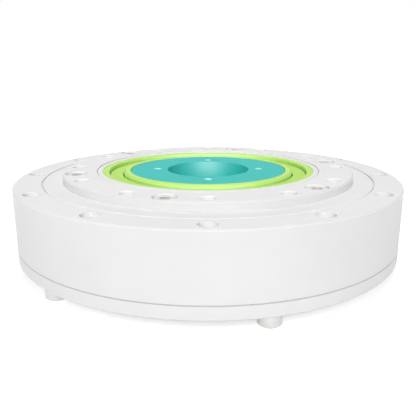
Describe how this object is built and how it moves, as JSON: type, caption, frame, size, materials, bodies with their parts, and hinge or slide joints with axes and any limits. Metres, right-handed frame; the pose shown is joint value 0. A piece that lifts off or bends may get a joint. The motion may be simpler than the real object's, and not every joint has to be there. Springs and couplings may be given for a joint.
{
  "type": "strain wave gear reducer",
  "caption": "Flat strain wave gear reducer: wide drilled outer ring, raised output boss with recessed socket screws, and an oval wave generator with a bore in a thin ball bearing.",
  "frame": {"origin": "on the axis, at the undersides of the flange screws' heads", "axes": "+Z along the axis, out of the output boss; the oval's long axis lies along X"},
  "size_m": [0.11, 0.11, 0.025],
  "materials": {
    "steel_white": "smooth satin white coat on machined steel",
    "steel_bright": "ground bearing steel",
    "steel_screw": "plain light steel, satin",
    "seal_rubber": "matt black rubber",
    "bearing_green": "bright yellow green coat, satin",
    "plug_teal": "teal coat, satin",
    "spacer_plastic": "natural moulded plastic"
  },
  "bodies": {
    "housing": {"bearing_outer_ring": "steel_white", "flexspline": "steel_white", "flange_screws": "steel_screw", "flange_o_ring": "seal_rubber", "seal_case": "steel_bright", "seal_lip": "seal_rubber", "garter_spring": "steel_bright", "flex_bearing_outer_race": "bearing_green"},
    "output": {"circular_spline": "steel_white", "bearing_inner_ring": "steel_white", "ring_screws": "steel_screw", "dowel_pins": "steel_bright", "split_o_ring": "seal_rubber"},
    "roller_set": {"rollers_up": "steel_bright", "rollers_down": "steel_bright", "roller_spacers": "spacer_plastic"},
    "wave_generator": {"wave_plug": "plug_teal", "flex_bearing_inner_race": "bearing_green"},
    "ball_set": {"bearing_balls": "steel_bright", "ball_cage": "bearing_green"}
  },
  "joints": [
    {"name": "output_spin", "type": "hinge", "parent": "housing", "child": "output", "pos_m": [0, 0, 0], "axis": [0, 0, 1], "continuous": true},
    {"name": "wave_generator_spin", "type": "hinge", "parent": "housing", "child": "wave_generator", "pos_m": [0, 0, 0], "axis": [0, 0, 1], "continuous": true, "deforming": ["flexspline", "flex_bearing_outer_race"]},
    {"name": "ball_orbit", "type": "hinge", "parent": "housing", "child": "ball_set", "pos_m": [0, 0, 0], "axis": [0, 0, 1], "continuous": true, "deforming": ["bearing_balls", "ball_cage"]},
    {"name": "roller_orbit", "type": "hinge", "parent": "housing", "child": "roller_set", "pos_m": [0, 0, 0], "axis": [0, 0, 1], "continuous": true}
  ],
  "couplings": [
    {"joint": "wave_generator_spin", "follows": "output_spin", "ratio": 51},
    {"joint": "ball_orbit", "follows": "output_spin", "ratio": 23},
    {"joint": "roller_orbit", "follows": "output_spin", "ratio": 0.48409}
  ]
}
